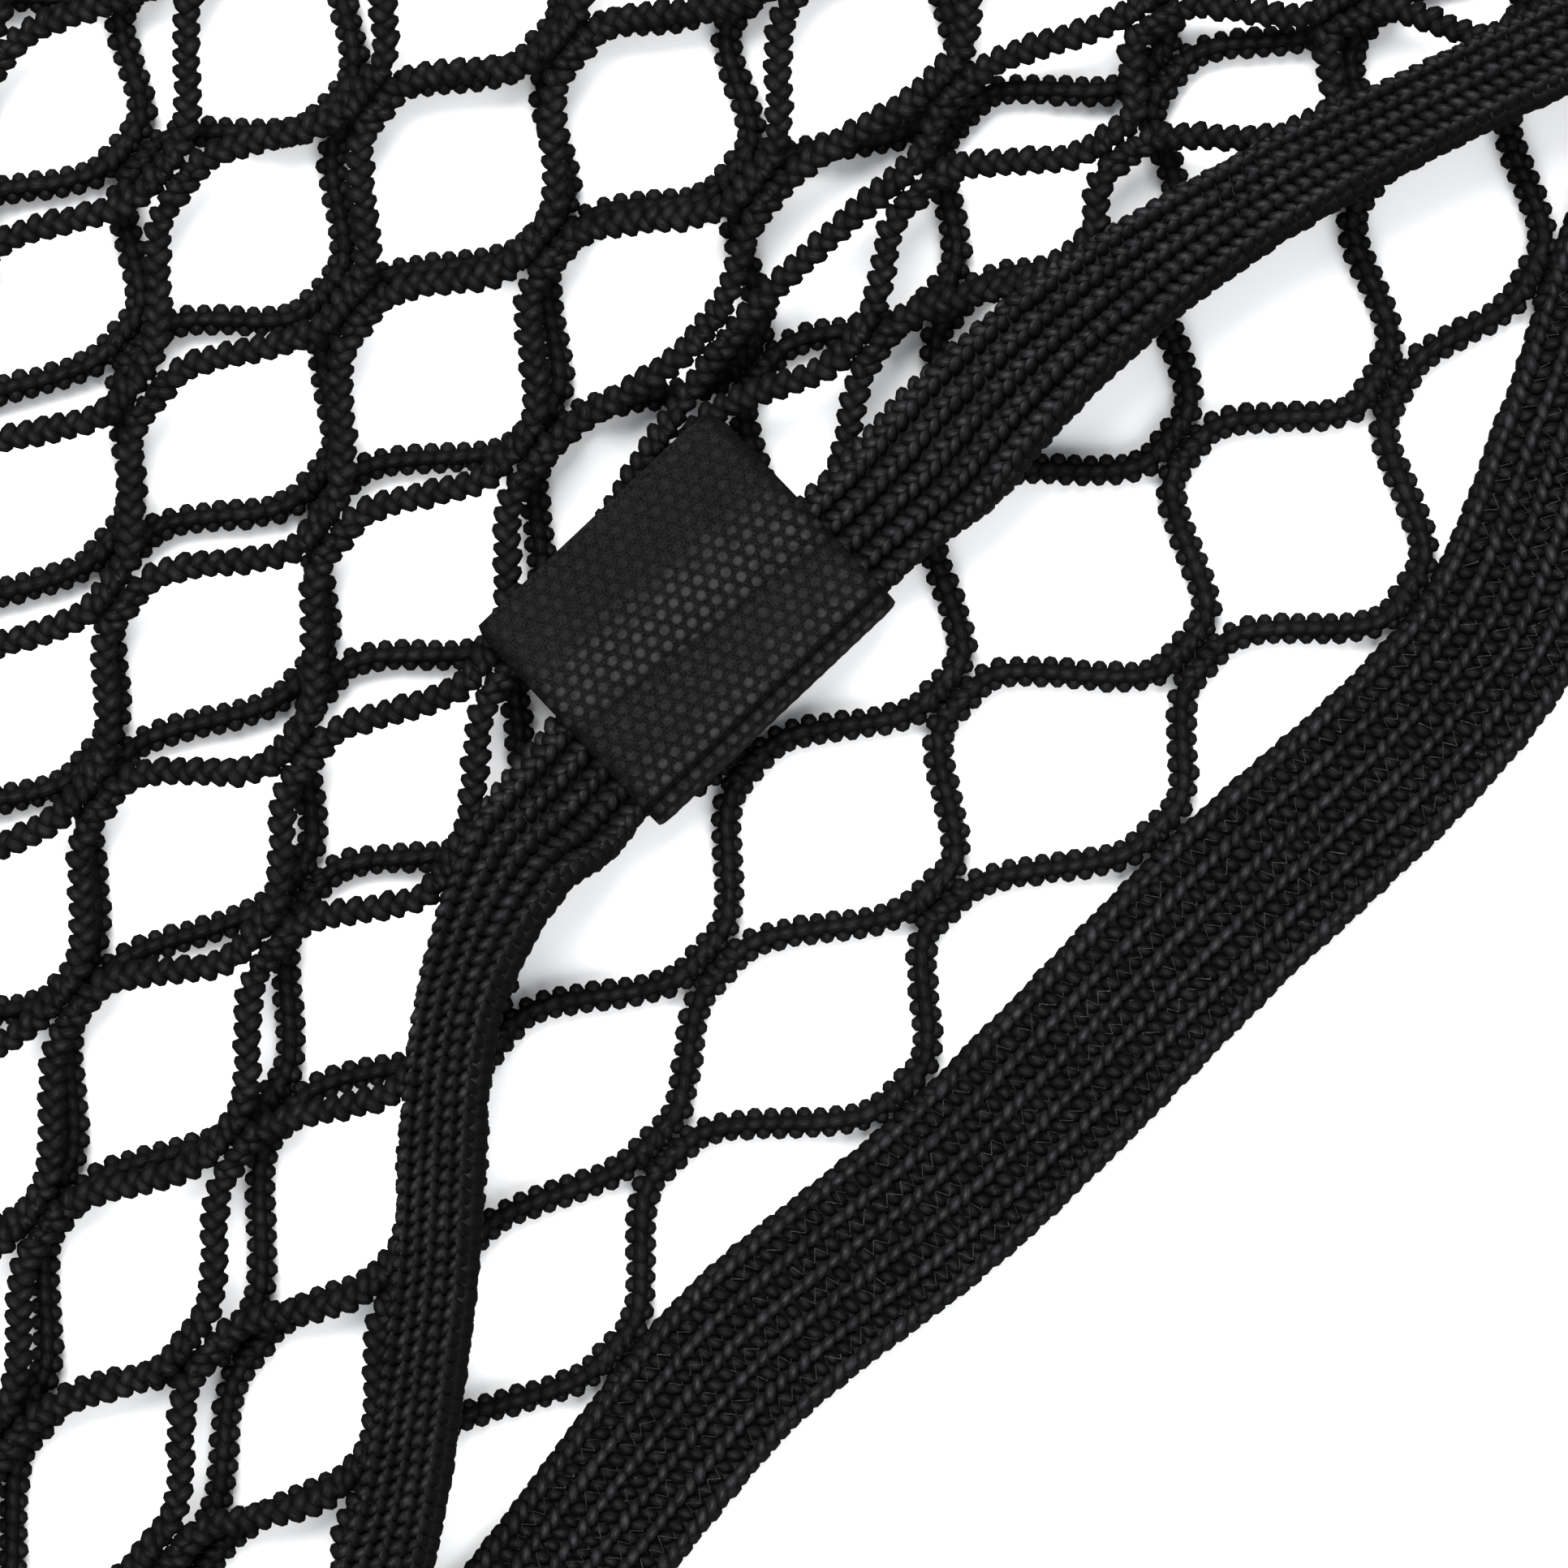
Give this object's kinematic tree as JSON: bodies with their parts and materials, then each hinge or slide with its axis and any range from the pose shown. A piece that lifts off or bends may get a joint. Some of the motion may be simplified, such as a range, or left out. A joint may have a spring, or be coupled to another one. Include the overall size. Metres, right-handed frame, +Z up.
{
  "type": "cargo net",
  "caption": "Black elastic cargo net pocket laid flat: a back and a front diamond-mesh panel with ribbed mouth bands, and a coarse woven tab folded round the front band.",
  "frame": {"origin": "on the surface, under the middle of the net's footprint", "axes": "+X along the pocket's mouth, +Y from the mouth to the closed bottom edge, +Z up from the surface it lies on"},
  "size_m": [0.216, 0.1483, 0.0134],
  "materials": {
    "elastic_knit": "matt knitted elastic, faint sheen on the stitches",
    "woven_tab": "coarse woven cloth, slightly shiny on its raised threads"
  },
  "bodies": {
    "root": {"back_panel": "elastic_knit", "front_panel": "elastic_knit", "tab": "woven_tab"}
  },
  "joints": []
}
